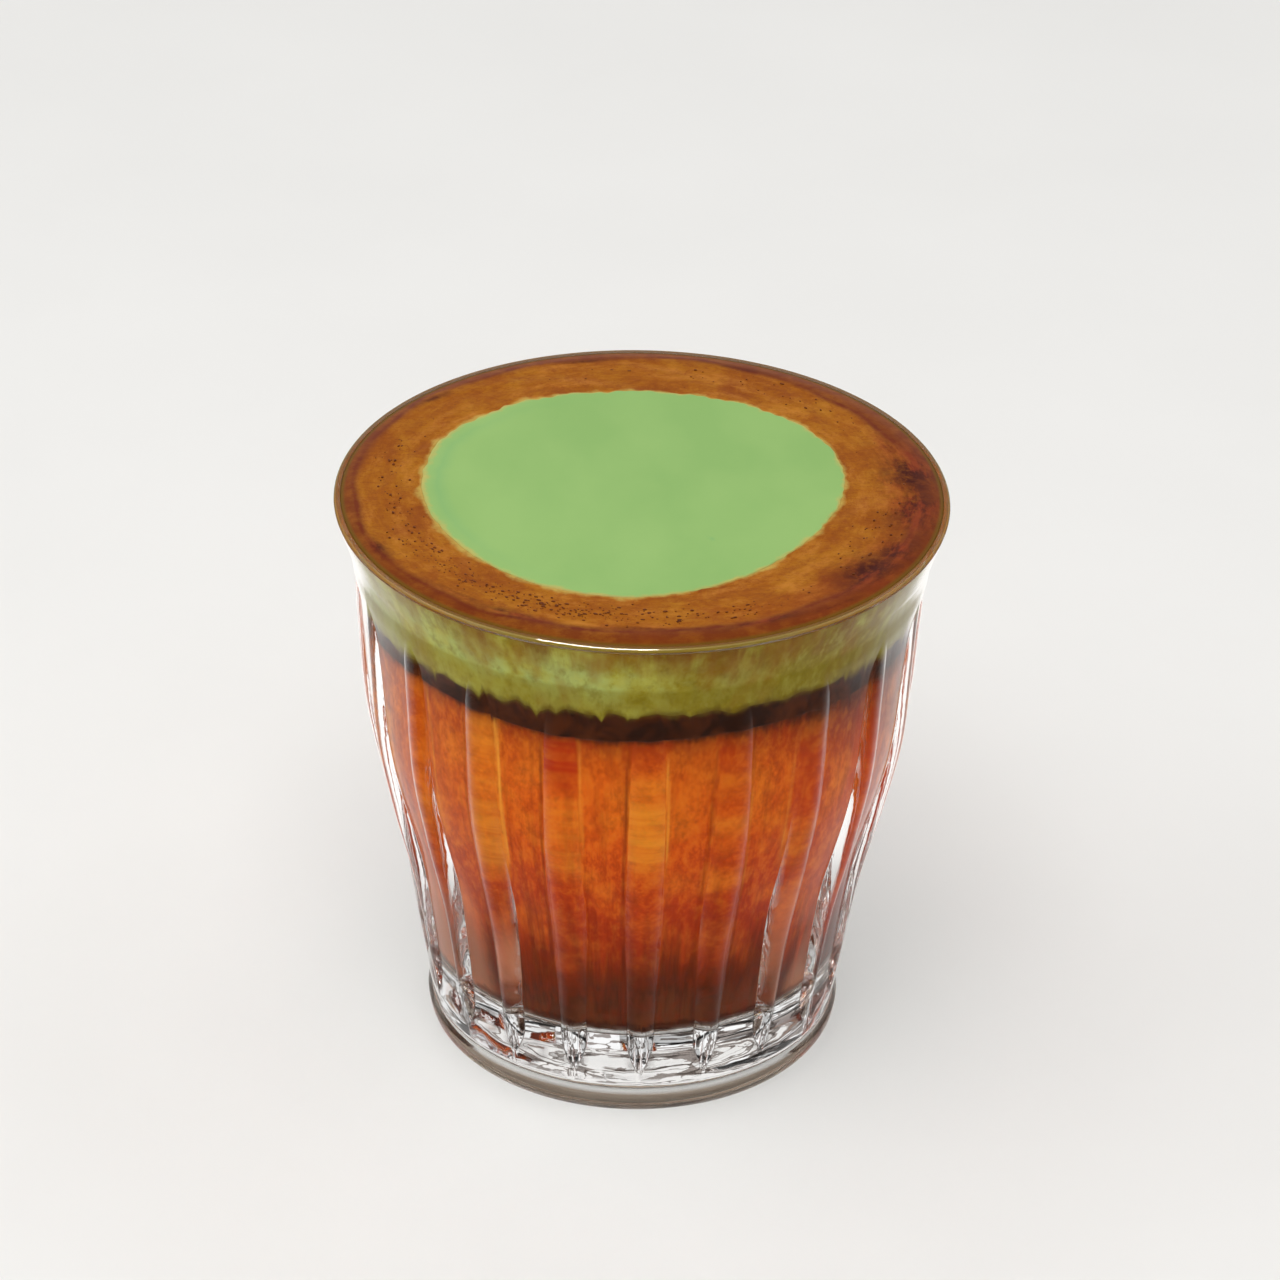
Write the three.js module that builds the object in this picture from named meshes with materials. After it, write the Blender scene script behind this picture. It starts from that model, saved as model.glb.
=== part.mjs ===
// A short tumbler of clear ribbed glass, filled to the brim with a layered drink:
// coffee at the bottom, a thin dark espresso band, green matcha milk, and on top
// a ring of brown crema round a disc of pale green matcha foam.
// Millimetres, +Z up. The origin is on the table, under the middle of the foot.
// An azimuth is in degrees from the front (-Y), growing towards +X.

import * as THREE from 'three';

// Outline of the glass along the crest of a rib: [height, radius], joined smoothly
const CREST_LINE = [
  [5, 30.0],
  [14, 31.65],
  [28, 34.05],
  [42, 37.4],
  [54, 39.75],
  [68, 40.75],
  [78.7, 41.5],
  [87, 44.0],
];

// Outline of the inside of the glass, above the rounded corner at its floor
const INNER_LINE = [
  [17, 27.2],
  [28, 30.2],
  [42, 33.7],
  [54, 36.1],
  [68, 37.4],
  [76, 38.3],
  [82, 40.6],
  [86.6, 42.7],
];

// Lip, floor and foot of the glass
const LIP_TOP = 87.6;
const LIP_RADIUS = 0.6;
const FLOOR_HEIGHT = 12.6;
const FOOT_RADIUS = 30.6;
const FOOT_EDGE_RADIUS = 3.4;
const FOOT_BAND_TOP = 4.2;
const FOOT_RING_INNER = 25.5;
const RECESS_RADIUS = 23.5;
const RECESS_DEPTH = 1.8;

// Ribs: round ridges that rise out of the wall above the foot and fade below the rim band
const RIB_COUNT = 20;
const RIB_TURN = 2.4;
const RIB_HEIGHT = 1.5;
const RIB_HALF_ANGLE = 4.4;
const RIB_FULLNESS = 0.8;

// Share of its full width that a rib has, which starts and ends in a point: [height, share]
const RIB_WIDTH_LINE = [
  [7.6, 0],
  [9, 0.3],
  [11, 0.62],
  [13, 0.76],
  [18, 0.82],
  [25, 0.88],
  [36, 1.0],
  [48, 0.9],
  [60, 0.82],
  [70, 0.72],
  [74, 0.5],
  [77, 0],
];
const NARROWEST_COLUMNS = 0.3;

// The body is a little thicker than the rim band, with a soft step between them
const BAND_LINE = 78.7;
const BAND_STEP = 0.2;

// Layers of the drink
const ESPRESSO_BOTTOM = 70.3;
const MATCHA_BOTTOM = 74.0;
const CREMA_BOTTOM = 86.2;
const CREMA_TOP = 87.9;
const CREMA_EDGE_HEIGHT = 87.1;
const CREMA_FLAT_RADIUS = 40.2;
const FOAM_TOP = 88.0;
const FOAM_EDGE_DROP = 0.2;
const FOAM_EDGE_WIDTH = 0.6;

// Foam outline: its mean radius, and the waves that make it lopsided
const FOAM_RADIUS = 30.1;
const FOAM_WAVES = [
  { turns: 1, cosine: -0.8, sine: -1.5 },
  { turns: 2, cosine: 0, sine: -0.5 },
  { turns: 3, cosine: 0.9, sine: -0.1 },
];

// Clearances between the pieces, and how finely round shapes are divided
const WALL_CLEARANCE = 0.3;
const LAYER_CLEARANCE = 0.3;
const DRINK_SIDES = 60;
const ARC_STEPS = 3;
const WALL_HEIGHTS = [6.5, 8.5, 11, 14, 20, 28, 36, 44, 52, 60, 66, 70, 74, 77];
const BAND_HEIGHTS = [81, 84, 86.4];
const INNER_HEIGHTS = [82, 78, 74, 66, 54, 40, 27];

const clearGlass = new THREE.MeshStandardMaterial({
  color: 0xe8eeee,
  roughness: 0.03,
  metalness: 0,
  transparent: true,
  opacity: 0.35,
});
const orangeCoffee = new THREE.MeshStandardMaterial({ color: 0xb5541c, roughness: 0.25, metalness: 0 });
const darkEspresso = new THREE.MeshStandardMaterial({ color: 0x3c1b0c, roughness: 0.25, metalness: 0 });
const oliveMatcha = new THREE.MeshStandardMaterial({ color: 0x98994a, roughness: 0.4, metalness: 0 });
const brownCrema = new THREE.MeshStandardMaterial({ color: 0xa5621c, roughness: 0.45, metalness: 0 });
const greenFoam = new THREE.MeshStandardMaterial({ color: 0x94bc72, roughness: 0.55, metalness: 0 });

// Smooth curve through the [height, radius] stations of a line, read at one height
function radiusOn(line, height) {
  const last = line.length - 1;
  const h = THREE.MathUtils.clamp(height, line[0][0], line[last][0]);
  let k = 0;
  while (k < last - 1 && h > line[k + 1][0]) {
    k += 1;
  }
  const slope = (i) => {
    const [lowHeight, lowRadius] = line[Math.max(i - 1, 0)];
    const [highHeight, highRadius] = line[Math.min(i + 1, last)];
    return (highRadius - lowRadius) / (highHeight - lowHeight);
  };
  const [h0, r0] = line[k];
  const [h1, r1] = line[k + 1];
  const span = h1 - h0;
  const t = (h - h0) / span;
  const fromStart = (2 * t ** 3 - 3 * t ** 2 + 1) * r0 + (t ** 3 - 2 * t ** 2 + t) * span * slope(k);
  const fromEnd = (3 * t ** 2 - 2 * t ** 3) * r1 + (t ** 3 - t ** 2) * span * slope(k + 1);
  return fromStart + fromEnd;
}

// Share of its full width that a rib has at one height
function ribWidth(height) {
  return THREE.MathUtils.clamp(radiusOn(RIB_WIDTH_LINE, height), 0, 1);
}

// How far a rib's round top has dropped at a share of its half width
function ribDrop(share) {
  return RIB_HEIGHT * (1 - THREE.MathUtils.clamp(1 - share ** 2, 0, 1) ** RIB_FULLNESS);
}

// Outer radius of the glass at one height and azimuth: the panel, or the round rib on it
function outerRadius(height, azimuth) {
  const crest = radiusOn(CREST_LINE, height);
  const pitch = 360 / RIB_COUNT;
  const fromRib = THREE.MathUtils.euclideanModulo(azimuth - RIB_TURN + pitch / 2, pitch) - pitch / 2;
  const drop = Math.min(ribDrop(ribWidth(height)), ribDrop(fromRib / RIB_HALF_ANGLE));
  return crest - drop;
}

// Radius of the foam disc at one azimuth
function foamRadius(azimuth) {
  const angle = THREE.MathUtils.degToRad(azimuth);
  let radius = FOAM_RADIUS;
  for (const { turns, cosine, sine } of FOAM_WAVES) {
    radius += cosine * Math.cos(turns * angle) + sine * Math.sin(turns * angle);
  }
  return radius;
}

// Azimuths that put an edge on each rib's crest, on both its sides and midway, at one height
function glassAzimuths(height) {
  const edge = RIB_HALF_ANGLE * Math.max(ribWidth(height), NARROWEST_COLUMNS);
  const offsets = [-edge, -edge / 2, 0, edge / 2, edge, 180 / RIB_COUNT];
  const azimuths = [];
  for (let rib = 0; rib < RIB_COUNT; rib += 1) {
    for (const offset of offsets) {
      azimuths.push(RIB_TURN + (rib * 360) / RIB_COUNT + offset);
    }
  }
  return azimuths;
}

// Evenly spaced azimuths, the same at every height
function drinkAzimuths() {
  return Array.from({ length: DRINK_SIDES }, (_, side) => (side * 360) / DRINK_SIDES);
}

// Points on an arc in the profile plane, from one angle to another in degrees
function arcPoints(centreRadius, centreHeight, radius, fromAngle, toAngle, steps) {
  const points = [];
  for (let step = 0; step <= steps; step += 1) {
    const angle = THREE.MathUtils.degToRad(fromAngle + ((toAngle - fromAngle) * step) / steps);
    points.push({
      radius: centreRadius + radius * Math.cos(angle),
      height: centreHeight + radius * Math.sin(angle),
    });
  }
  return points;
}

// Turn a profile round the axis. A profile point's radius is a number or a function of azimuth,
// and azimuthsAt gives the azimuths of the points at one height.
function turn(profile, azimuthsAt) {
  const reach = (point, azimuth) => (typeof point.radius === 'function' ? point.radius(azimuth) : point.radius);
  const rows = profile.map((point) => azimuthsAt(point.height));
  const sides = rows[0].length;
  const outline = profile.map((point) => new THREE.Vector2(reach(point, 0), point.height));
  const geometry = new THREE.LatheGeometry(outline, sides);
  const position = geometry.attributes.position;
  for (let vertex = 0; vertex < position.count; vertex += 1) {
    const row = vertex % profile.length;
    const azimuth = rows[row][Math.floor(vertex / profile.length) % sides];
    const angle = THREE.MathUtils.degToRad(azimuth);
    const radius = reach(profile[row], azimuth);
    position.setXYZ(vertex, radius * Math.sin(angle), profile[row].height, radius * Math.cos(angle));
  }
  geometry.rotateX(Math.PI / 2);
  geometry.computeVertexNormals();
  return geometry;
}

function piece(name, geometry, material) {
  const mesh = new THREE.Mesh(geometry, material);
  mesh.name = name;
  return mesh;
}

// The glass, from the middle of its underside out over the foot, up the wall, over the lip and back in
function glassProfile() {
  const footArc = arcPoints(
    FOOT_RADIUS - FOOT_EDGE_RADIUS, FOOT_EDGE_RADIUS, FOOT_EDGE_RADIUS, -90, 0, ARC_STEPS,
  );
  const wall = WALL_HEIGHTS.map((height) => ({
    radius: (azimuth) => outerRadius(height, azimuth),
    height,
  }));
  const step = [
    { radius: radiusOn(CREST_LINE, BAND_LINE) + BAND_STEP, height: BAND_LINE - BAND_STEP },
    { radius: radiusOn(CREST_LINE, BAND_LINE), height: BAND_LINE },
  ];
  const band = BAND_HEIGHTS.map((height) => ({ radius: radiusOn(CREST_LINE, height), height }));
  const lipMiddle = radiusOn(CREST_LINE, LIP_TOP) - LIP_RADIUS;
  const lip = arcPoints(lipMiddle, LIP_TOP - LIP_RADIUS, LIP_RADIUS, 0, 180, 2 * ARC_STEPS - 2);
  const inside = INNER_HEIGHTS.map((height) => ({ radius: radiusOn(INNER_LINE, height), height }));
  const [cornerTop, cornerReach] = INNER_LINE[0];
  const cornerRadius = cornerTop - FLOOR_HEIGHT;
  const corner = arcPoints(cornerReach - cornerRadius, cornerTop, cornerRadius, 0, -90, ARC_STEPS);
  return [
    { radius: 0, height: RECESS_DEPTH },
    { radius: RECESS_RADIUS, height: RECESS_DEPTH },
    { radius: FOOT_RING_INNER, height: 0 },
    ...footArc,
    { radius: FOOT_RADIUS, height: FOOT_BAND_TOP },
    { radius: CREST_LINE[0][1], height: CREST_LINE[0][0] },
    ...wall,
    ...step,
    ...band,
    ...lip,
    ...inside,
    ...corner,
    { radius: 0, height: FLOOR_HEIGHT },
  ];
}

// The side of a layer of the drink, as wide as the glass allows, from one height up to another
function layerSide(bottom, top) {
  const between = INNER_HEIGHTS.filter((height) => height > bottom && height < top).reverse();
  return [bottom, ...between, top].map((height) => ({
    radius: radiusOn(INNER_LINE, height) - WALL_CLEARANCE,
    height,
  }));
}

function layerProfile(bottom, top) {
  return [{ radius: 0, height: bottom }, ...layerSide(bottom, top), { radius: 0, height: top }];
}

// The coffee fills the rounded corner at the floor
function coffeeProfile() {
  const bottom = FLOOR_HEIGHT + LAYER_CLEARANCE;
  const top = ESPRESSO_BOTTOM - LAYER_CLEARANCE / 2;
  const [cornerTop, cornerReach] = INNER_LINE[0];
  const cornerRadius = cornerTop - FLOOR_HEIGHT;
  const corner = arcPoints(
    cornerReach - cornerRadius, cornerTop, cornerRadius - WALL_CLEARANCE, -90, 0, ARC_STEPS,
  );
  const side = layerSide(cornerTop, top).slice(1);
  return [{ radius: 0, height: bottom }, ...corner, ...side, { radius: 0, height: top }];
}

// The crema is a ring whose outer edge slopes down to the lip, and whose hole is the foam outline
function cremaProfile() {
  const bottom = CREMA_BOTTOM + LAYER_CLEARANCE / 2;
  const hole = (azimuth) => foamRadius(azimuth) + LAYER_CLEARANCE;
  const reach = (height) => radiusOn(INNER_LINE, height) - WALL_CLEARANCE;
  const shoulder = (CREMA_FLAT_RADIUS + reach(CREMA_EDGE_HEIGHT)) / 2;
  const shoulderHeight = CREMA_TOP - (CREMA_TOP - CREMA_EDGE_HEIGHT) / 3;
  return [
    { radius: hole, height: bottom },
    { radius: reach(bottom), height: bottom },
    { radius: reach(CREMA_EDGE_HEIGHT), height: CREMA_EDGE_HEIGHT },
    { radius: shoulder, height: shoulderHeight },
    { radius: CREMA_FLAT_RADIUS, height: CREMA_TOP },
    { radius: hole, height: CREMA_TOP },
    { radius: hole, height: bottom },
  ];
}

function foamProfile() {
  const bottom = CREMA_BOTTOM + LAYER_CLEARANCE / 2;
  return [
    { radius: 0, height: bottom },
    { radius: foamRadius, height: bottom },
    { radius: foamRadius, height: FOAM_TOP - FOAM_EDGE_DROP },
    { radius: (azimuth) => foamRadius(azimuth) - FOAM_EDGE_WIDTH, height: FOAM_TOP },
    { radius: 0, height: FOAM_TOP },
  ];
}

const espressoProfile = layerProfile(
  ESPRESSO_BOTTOM + LAYER_CLEARANCE / 2, MATCHA_BOTTOM - LAYER_CLEARANCE / 2,
);
const matchaProfile = layerProfile(
  MATCHA_BOTTOM + LAYER_CLEARANCE / 2, CREMA_BOTTOM - LAYER_CLEARANCE / 2,
);

const tumbler = new THREE.Group();
tumbler.add(
  piece('glass', turn(glassProfile(), glassAzimuths), clearGlass),
  piece('coffee', turn(coffeeProfile(), drinkAzimuths), orangeCoffee),
  piece('espresso_band', turn(espressoProfile, drinkAzimuths), darkEspresso),
  piece('matcha_milk', turn(matchaProfile, drinkAzimuths), oliveMatcha),
  piece('crema', turn(cremaProfile(), drinkAzimuths), brownCrema),
  piece('matcha_foam', turn(foamProfile(), drinkAzimuths), greenFoam),
);

export default tumbler;
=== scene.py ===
import math
import random

import bpy
import numpy as np
from mathutils import Matrix, Vector


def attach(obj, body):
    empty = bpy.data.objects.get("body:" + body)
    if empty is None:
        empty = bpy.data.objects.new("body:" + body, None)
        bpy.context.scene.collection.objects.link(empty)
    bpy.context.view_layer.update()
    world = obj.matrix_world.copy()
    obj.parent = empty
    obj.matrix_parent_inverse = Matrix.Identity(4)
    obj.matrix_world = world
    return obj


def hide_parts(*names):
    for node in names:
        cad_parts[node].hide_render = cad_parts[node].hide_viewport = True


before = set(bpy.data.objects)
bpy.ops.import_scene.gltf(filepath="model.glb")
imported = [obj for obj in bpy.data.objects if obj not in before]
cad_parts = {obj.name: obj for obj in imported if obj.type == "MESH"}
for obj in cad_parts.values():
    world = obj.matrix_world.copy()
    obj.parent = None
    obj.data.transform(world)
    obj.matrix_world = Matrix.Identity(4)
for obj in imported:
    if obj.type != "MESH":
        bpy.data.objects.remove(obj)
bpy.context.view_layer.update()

# Lengths are written in millimetres and azimuths in degrees from the front (-Y) towards +X
MM = 0.001

# Outline of the glass along the crest of a rib, and of its inside: (height, radius)
CREST_LINE = (
    (5, 30.0), (14, 31.65), (28, 34.05), (42, 37.4), (54, 39.75), (68, 40.75), (78.7, 41.5), (87, 44.0),
)
INNER_LINE = (
    (17, 27.2), (28, 30.2), (42, 33.7), (54, 36.1), (68, 37.4), (76, 38.3), (82, 40.6), (86.6, 42.7),
)
LIP_TOP = 87.6
LIP_RADIUS = 0.6
FLOOR_HEIGHT = 12.6
FOOT_RADIUS = 30.6
FOOT_EDGE_RADIUS = 3.4
FOOT_BAND_TOP = 4.2
RECESS_RADIUS = 23.5
RECESS_DEPTH = 1.8

# The inside's round corner over its floor
CORNER_TOP, CORNER_REACH = INNER_LINE[0]
CORNER_RADIUS = CORNER_TOP - FLOOR_HEIGHT

# Beyond this radius the surface of the base is its outside
OUTSIDE_FROM = 28.5

# Fine marks of pressing, which end where the wall turns out to the lip
MARK_DEPTH = 0.03
MARKS_TOP = 82

# Ribs, and the share of their full width that they have: (height, share)
RIB_COUNT = 20
PITCH = 360 / RIB_COUNT
RIB_TURN = 2.4
RIB_HEIGHT = 1.5
RIB_HALF_ANGLE = 4.4
RIB_FULLNESS = 0.8
RIB_WIDTH_LINE = (
    (7.6, 0), (9, 0.3), (11, 0.62), (13, 0.76), (18, 0.82), (25, 0.88), (36, 1.0),
    (48, 0.9), (60, 0.82), (70, 0.72), (73, 0.62), (75.2, 0.42), (76.6, 0.2), (77.2, 0),
)

# Softness of the edge between a rib and its panel
CREASE = 0.02

# Height where the wall starts over the foot
LOWER_WALL = 5.4

# The ledge under the rim's smooth band
BAND_LINE = 78.7
BAND_STEP = 0.06

# Layers of the drink
ESPRESSO_BOTTOM = 70.3
MATCHA_BOTTOM = 74.0
CREMA_BOTTOM = 86.2
CREMA_SIDE_BOTTOM = 86.9
CREMA_TOP = 87.9
CREMA_FLAT_RADIUS = 40.2
FOAM_TOP = 88.0
FOAM_RADIUS = 30.1
FOAM_WAVES = ((1, -0.8, -1.5), (2, 0, -0.5), (3, 0.9, -0.1))

# Where the brim-full drink ends on the round of the lip, in degrees on its section
CONTACT_ANGLE = 125

# How far the drink reaches into the wall, so that no air shows between them
PRESS = 0.15

# Columns of faces round the coffee, round the two layers over it, and round the crema and foam
COFFEE_COLUMNS = 720
LAYER_COLUMNS = 1080
TOP_COLUMNS = 900

# The camera: elevation and roll in degrees, distance in mm, focal length and aim in pixels of the 1280 frame
CAMERA_ELEVATION = 31.736
CAMERA_ROLL = 1.147
CAMERA_DISTANCE = 844.49
CAMERA_FOCAL = 5757.3
CAMERA_AIM_X = -0.81
CAMERA_AIM_Y = 114.64
CAMERA_AIM_HEIGHT = 43.56
FRAME_SIDE = 1280
SENSOR_WIDTH = 36


def srgb(red, green, blue):
    """A colour given in 0..255 steps of a screen, as linear light."""
    parts = [c / 255 for c in (red, green, blue)]
    return tuple(c / 12.92 if c <= 0.04045 else ((c + 0.055) / 1.055) ** 2.4 for c in parts)


def radius_on(line, height):
    """Smooth curve through the (height, radius) stations of a line, read at one or many heights."""
    heights, radii = np.array(line, float).T
    last = len(line) - 1
    low = np.maximum(np.arange(last + 1) - 1, 0)
    high = np.minimum(np.arange(last + 1) + 1, last)
    slopes = (radii[high] - radii[low]) / (heights[high] - heights[low])
    h = np.clip(height, heights[0], heights[-1])
    k = np.clip(np.searchsorted(heights, h) - 1, 0, last - 1)
    span = heights[k + 1] - heights[k]
    t = (h - heights[k]) / span
    start = (2 * t**3 - 3 * t**2 + 1) * radii[k] + (t**3 - 2 * t**2 + t) * span * slopes[k]
    end = (3 * t**2 - 2 * t**3) * radii[k + 1] + (t**3 - t**2) * span * slopes[k + 1]
    return start + end


def smoothstep(value, low, high):
    t = np.clip((value - low) / (high - low), 0, 1)
    return t * t * (3 - 2 * t)


# Middle of the lip's round section
LIP_MIDDLE = float(radius_on(CREST_LINE, LIP_TOP)) - LIP_RADIUS
LIP_CENTRE = LIP_TOP - LIP_RADIUS


def apart(azimuth, centre):
    """Degrees from a centre, -180 to 180."""
    return (azimuth - centre + 180) % 360 - 180


def bell(value):
    return np.exp(-(value**2))


def hump(azimuth, centre, width):
    """1 at one azimuth, and less to both sides of it."""
    return bell(apart(azimuth, centre) / width)


def spot(along, across):
    return np.exp(-(along**2) - across**2)


class Wobble:
    """Smooth seeded unevenness over azimuth and height: a sum of waves that close round the glass."""

    def __init__(self, seed, turns, count, heights=(0, 0)):
        draw = random.Random(seed)
        self.waves = [
            (
                draw.randint(*turns),
                draw.uniform(*heights) * draw.choice((-1, 1)),
                draw.uniform(0, math.tau),
                draw.uniform(0.5, 1),
            )
            for _ in range(count)
        ]
        self.scale = 1 / math.sqrt(sum(size**2 for *_, size in self.waves) / 2)

    def __call__(self, azimuth, height=0.0):
        angle = np.radians(azimuth)
        total = 0
        for turns, per_mm, phase, size in self.waves:
            total = total + size * np.sin(turns * angle + per_mm * height + phase)
        return total * self.scale


def rib_width(height):
    """Share of its full width that a rib has: it starts and ends in a point."""
    return np.clip(radius_on(RIB_WIDTH_LINE, height), 0, 1)


def rib_drop(share):
    """How far a rib's round top has dropped at a share of its half width."""
    return RIB_HEIGHT * (1 - np.clip(1 - np.abs(share) ** 2, 0, 1) ** RIB_FULLNESS)


def from_rib(azimuth):
    """Degrees from the middle of the nearest rib."""
    return (np.asarray(azimuth) - RIB_TURN + PITCH / 2) % PITCH - PITCH / 2


def rib_azimuth(rib):
    return RIB_TURN + rib * PITCH


def outer_radius(height, azimuth):
    """The panel, or the round rib on it, joined over a narrow soft crease."""
    crest = radius_on(CREST_LINE, height)
    rib = crest - rib_drop(from_rib(azimuth) / RIB_HALF_ANGLE)
    panel = crest - rib_drop(rib_width(height))
    return np.maximum(rib, panel) + CREASE * np.exp(-np.abs(rib - panel) / CREASE / 2) / 2


def foam_radius(azimuth):
    angle = np.radians(azimuth)
    waves = (c * np.cos(n * angle) + s * np.sin(n * angle) for n, c, s in FOAM_WAVES)
    return FOAM_RADIUS + sum(waves)


def arc(centre_radius, centre_height, radius, from_angle, to_angle, steps):
    """(radius, height) points on an arc of a profile."""
    angles = np.radians(np.linspace(from_angle, to_angle, steps + 1))
    return [(centre_radius + radius * math.cos(a), centre_height + radius * math.sin(a)) for a in angles]


def flat(height, radii=(20, 34)):
    """Rows of one height."""
    return [(radius, height) for radius in radii]


def grid_of(rows, count):
    """What the rows hold, such as radii and heights, each as an array of rows by columns."""
    return [np.array([np.broadcast_to(np.asarray(v, float), (count,)) for v in part]) for part in zip(*rows)]


def link_object(name, data):
    item = bpy.data.objects.new(name, data)
    bpy.context.scene.collection.objects.link(item)
    return item


def turned(name, rows, azimuths, attributes, capped=True):
    """A closed body of revolution. A row is (radius, height), each one number or an array over the azimuths,
    which are the same for all rows or a list of them for each row.
    Points on the axis close the first and last row, or else the last row joins the first."""
    azimuths = np.asarray(azimuths, float)
    count = azimuths.shape[-1]
    angles = np.radians(np.broadcast_to(azimuths, (len(rows), count)))
    radii, heights = grid_of(rows, count)
    points = np.stack([radii * np.sin(angles), -radii * np.cos(angles), heights], -1)
    vertices = points.reshape(-1, 3)
    column = np.arange(count)
    following = (column + 1) % count
    pairs = [(k, k + 1) for k in range(len(rows) - 1)]
    if not capped:
        pairs.append((len(rows) - 1, 0))
    faces = []
    for low, high in pairs:
        low, high = low * count, high * count
        quads = np.stack([low + column, low + following, high + following, high + column], -1)
        faces.extend(quads.tolist())
    centres = []
    if capped:
        for row, order in ((0, -1), (len(rows) - 1, 1)):
            ring = (row * count + column)[::order]
            centre = len(vertices) + len(centres)
            centres.append((0, 0, float(points[row, :, 2].mean())))
            faces += [(here, there, centre) for here, there in zip(ring.tolist(), np.roll(ring, -1).tolist())]
        vertices = np.vstack([vertices, centres])
    mesh = bpy.data.meshes.new(name)
    mesh.from_pydata((vertices * MM).tolist(), [], faces)
    mesh.validate()
    mesh.shade_smooth()
    for label, values in attributes.items():
        values = np.broadcast_to(np.asarray(values, float), radii.shape).reshape(-1)
        padded = np.concatenate([values, np.zeros(len(centres))])
        mesh.attributes.new(label, "FLOAT", "POINT").data.foreach_set("value", padded.astype(np.float32))
    return link_object(name, mesh)


# Radius that the textures of the wall are drawn at
WALL_CYLINDER = 38.0


class Nodes:
    """Short ways to write the nodes of a material or of the world. It keeps the colour painted so far."""

    def __init__(self, name, world=False):
        self.owner = (bpy.data.worlds if world else bpy.data.materials).new(name)
        self.owner.use_nodes = True
        self.tree = self.owner.node_tree
        self.tree.nodes.clear()
        self.output = self.add("OutputWorld" if world else "OutputMaterial")
        self.colour = None

    def add(self, kind, inputs=None, **settings):
        node = self.tree.nodes.new("ShaderNode" + kind)
        for key, value in settings.items():
            setattr(node, key, value)
        for key, value in (inputs or {}).items():
            self.put(node.inputs[key], value)
        return node

    def put(self, socket, value):
        if isinstance(value, bpy.types.NodeSocket):
            self.tree.links.new(value, socket)
        elif isinstance(value, bpy.types.Node):
            self.tree.links.new(value.outputs[0], socket)
        elif isinstance(value, (tuple, list)) and len(value) == 3 and socket.type == "RGBA":
            socket.default_value = (*value, 1)
        else:
            socket.default_value = value

    def math(self, operation, *values):
        return self.add("Math", dict(enumerate(values)), operation=operation).outputs[0]

    def times(self, first, *others):
        for other in others:
            first = self.math("MULTIPLY", first, other)
        return first

    def plus(self, first, second):
        return self.math("ADD", first, second)

    def larger(self, first, second):
        return self.math("MAXIMUM", first, second)

    def off_middle(self, value):
        return self.math("ABSOLUTE", self.math("SUBTRACT", value, 0.5))

    def stirred(self, value, noise, amount):
        """A value moved up and down by noise."""
        return self.math("MULTIPLY_ADD", self.math("SUBTRACT", noise, 0.5), amount, value)

    def mix(self, factor, first, second, blend="MIX"):
        inputs = {0: factor, 6: first, 7: second}
        return self.add("Mix", inputs, data_type="RGBA", blend_type=blend).outputs[2]

    def paint(self, share, *colour):
        """Lays a colour over the one so far: three steps of 0..255, or what another node gives."""
        self.colour = self.mix(share, self.colour, srgb(*colour) if len(colour) == 3 else colour[0])

    def value(self, name):
        return self.add("Attribute", attribute_name=name).outputs["Fac"]

    def place(self, scale=(1, 1, 1)):
        """Object coordinates in millimetres, stretched."""
        at = self.add("TexCoord").outputs["Object"]
        return self.add("Mapping", {"Vector": at, "Scale": tuple(s / MM for s in scale)}).outputs[0]

    def axes(self):
        """x, y, z and the distance from the axis, in millimetres."""
        x, y, z = self.add("SeparateXYZ", {0: self.place()}).outputs
        return x, y, z, self.math("SQRT", self.plus(self.times(x, x), self.times(y, y)))

    def wall(self, stretch, disc=False):
        """Coordinates drawn to one cylinder, so that streaks run straight up the wall. For a disc, whose
        streaks run round it, they have the distance from the axis in place of the height."""
        x, y, z, out = self.axes()
        scale = self.math("DIVIDE", WALL_CYLINDER, out)
        parts = (self.times(x, scale), self.times(y, scale), out if disc else z)
        joined = self.add("CombineXYZ", dict(enumerate(parts)))
        return self.add("Mapping", {"Vector": joined, "Scale": stretch}).outputs[0]

    def noise(self, size, detail=3, roughness=0.5, stretch=(1, 1, 1), wall=None, distortion=0, vector=None):
        """Noise 0..1 whose largest forms are about size mm, in space, on the wall or over a vector."""
        vector = vector or (self.wall(wall) if wall else self.place(stretch))
        inputs = {"Vector": vector, "Scale": 1 / size, "Detail": detail}
        inputs.update({"Roughness": roughness, "Distortion": distortion})
        return self.add("TexNoise", inputs).outputs["Fac"]

    def contour(self, value, levels, width):
        """1 on thin lines where a value passes evenly spaced levels."""
        return self.math("LESS_THAN", self.off_middle(self.math("FRACT", self.times(value, levels))), width)

    def fringe(self):
        """The share of cream at the foam's edge, broken up."""
        cream = self.stirred(self.value("cream"), self.noise(1.6, 4, 0.6), 1.2)
        return self.range(cream, 0.2, 1.1, 0.0, 0.9, smooth=True)

    def range(self, value, low, high, to_low=0, to_high=1, smooth=False):
        inputs = {"Value": value, "From Min": low, "From Max": high, "To Min": to_low, "To Max": to_high}
        curve = "SMOOTHSTEP" if smooth else "LINEAR"
        return self.add("MapRange", inputs, interpolation_type=curve).outputs[0]

    def ramp(self, value, stops):
        node = self.add("ValToRGB", {"Fac": value})
        elements = node.color_ramp.elements
        while len(elements) < len(stops):
            elements.new(0.5)
        for element, (position, colour) in zip(elements, stops):
            element.position = position
            element.color = (*colour, 1)
        return node.outputs[0]

    def bump(self, height, distance, strength):
        inputs = {"Height": height, "Distance": distance * MM, "Strength": strength}
        return self.add("Bump", inputs).outputs[0]

    def facing(self):
        return self.add("LayerWeight", {"Blend": 0.5}).outputs["Facing"]

    def surface(self, roughness, specular, others=None):
        """A surface of the colour painted so far."""
        inputs = {"Base Color": self.colour, "Roughness": roughness, "Specular IOR Level": specular}
        return self.add("BsdfPrincipled", {**inputs, **(others or {})})

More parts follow.
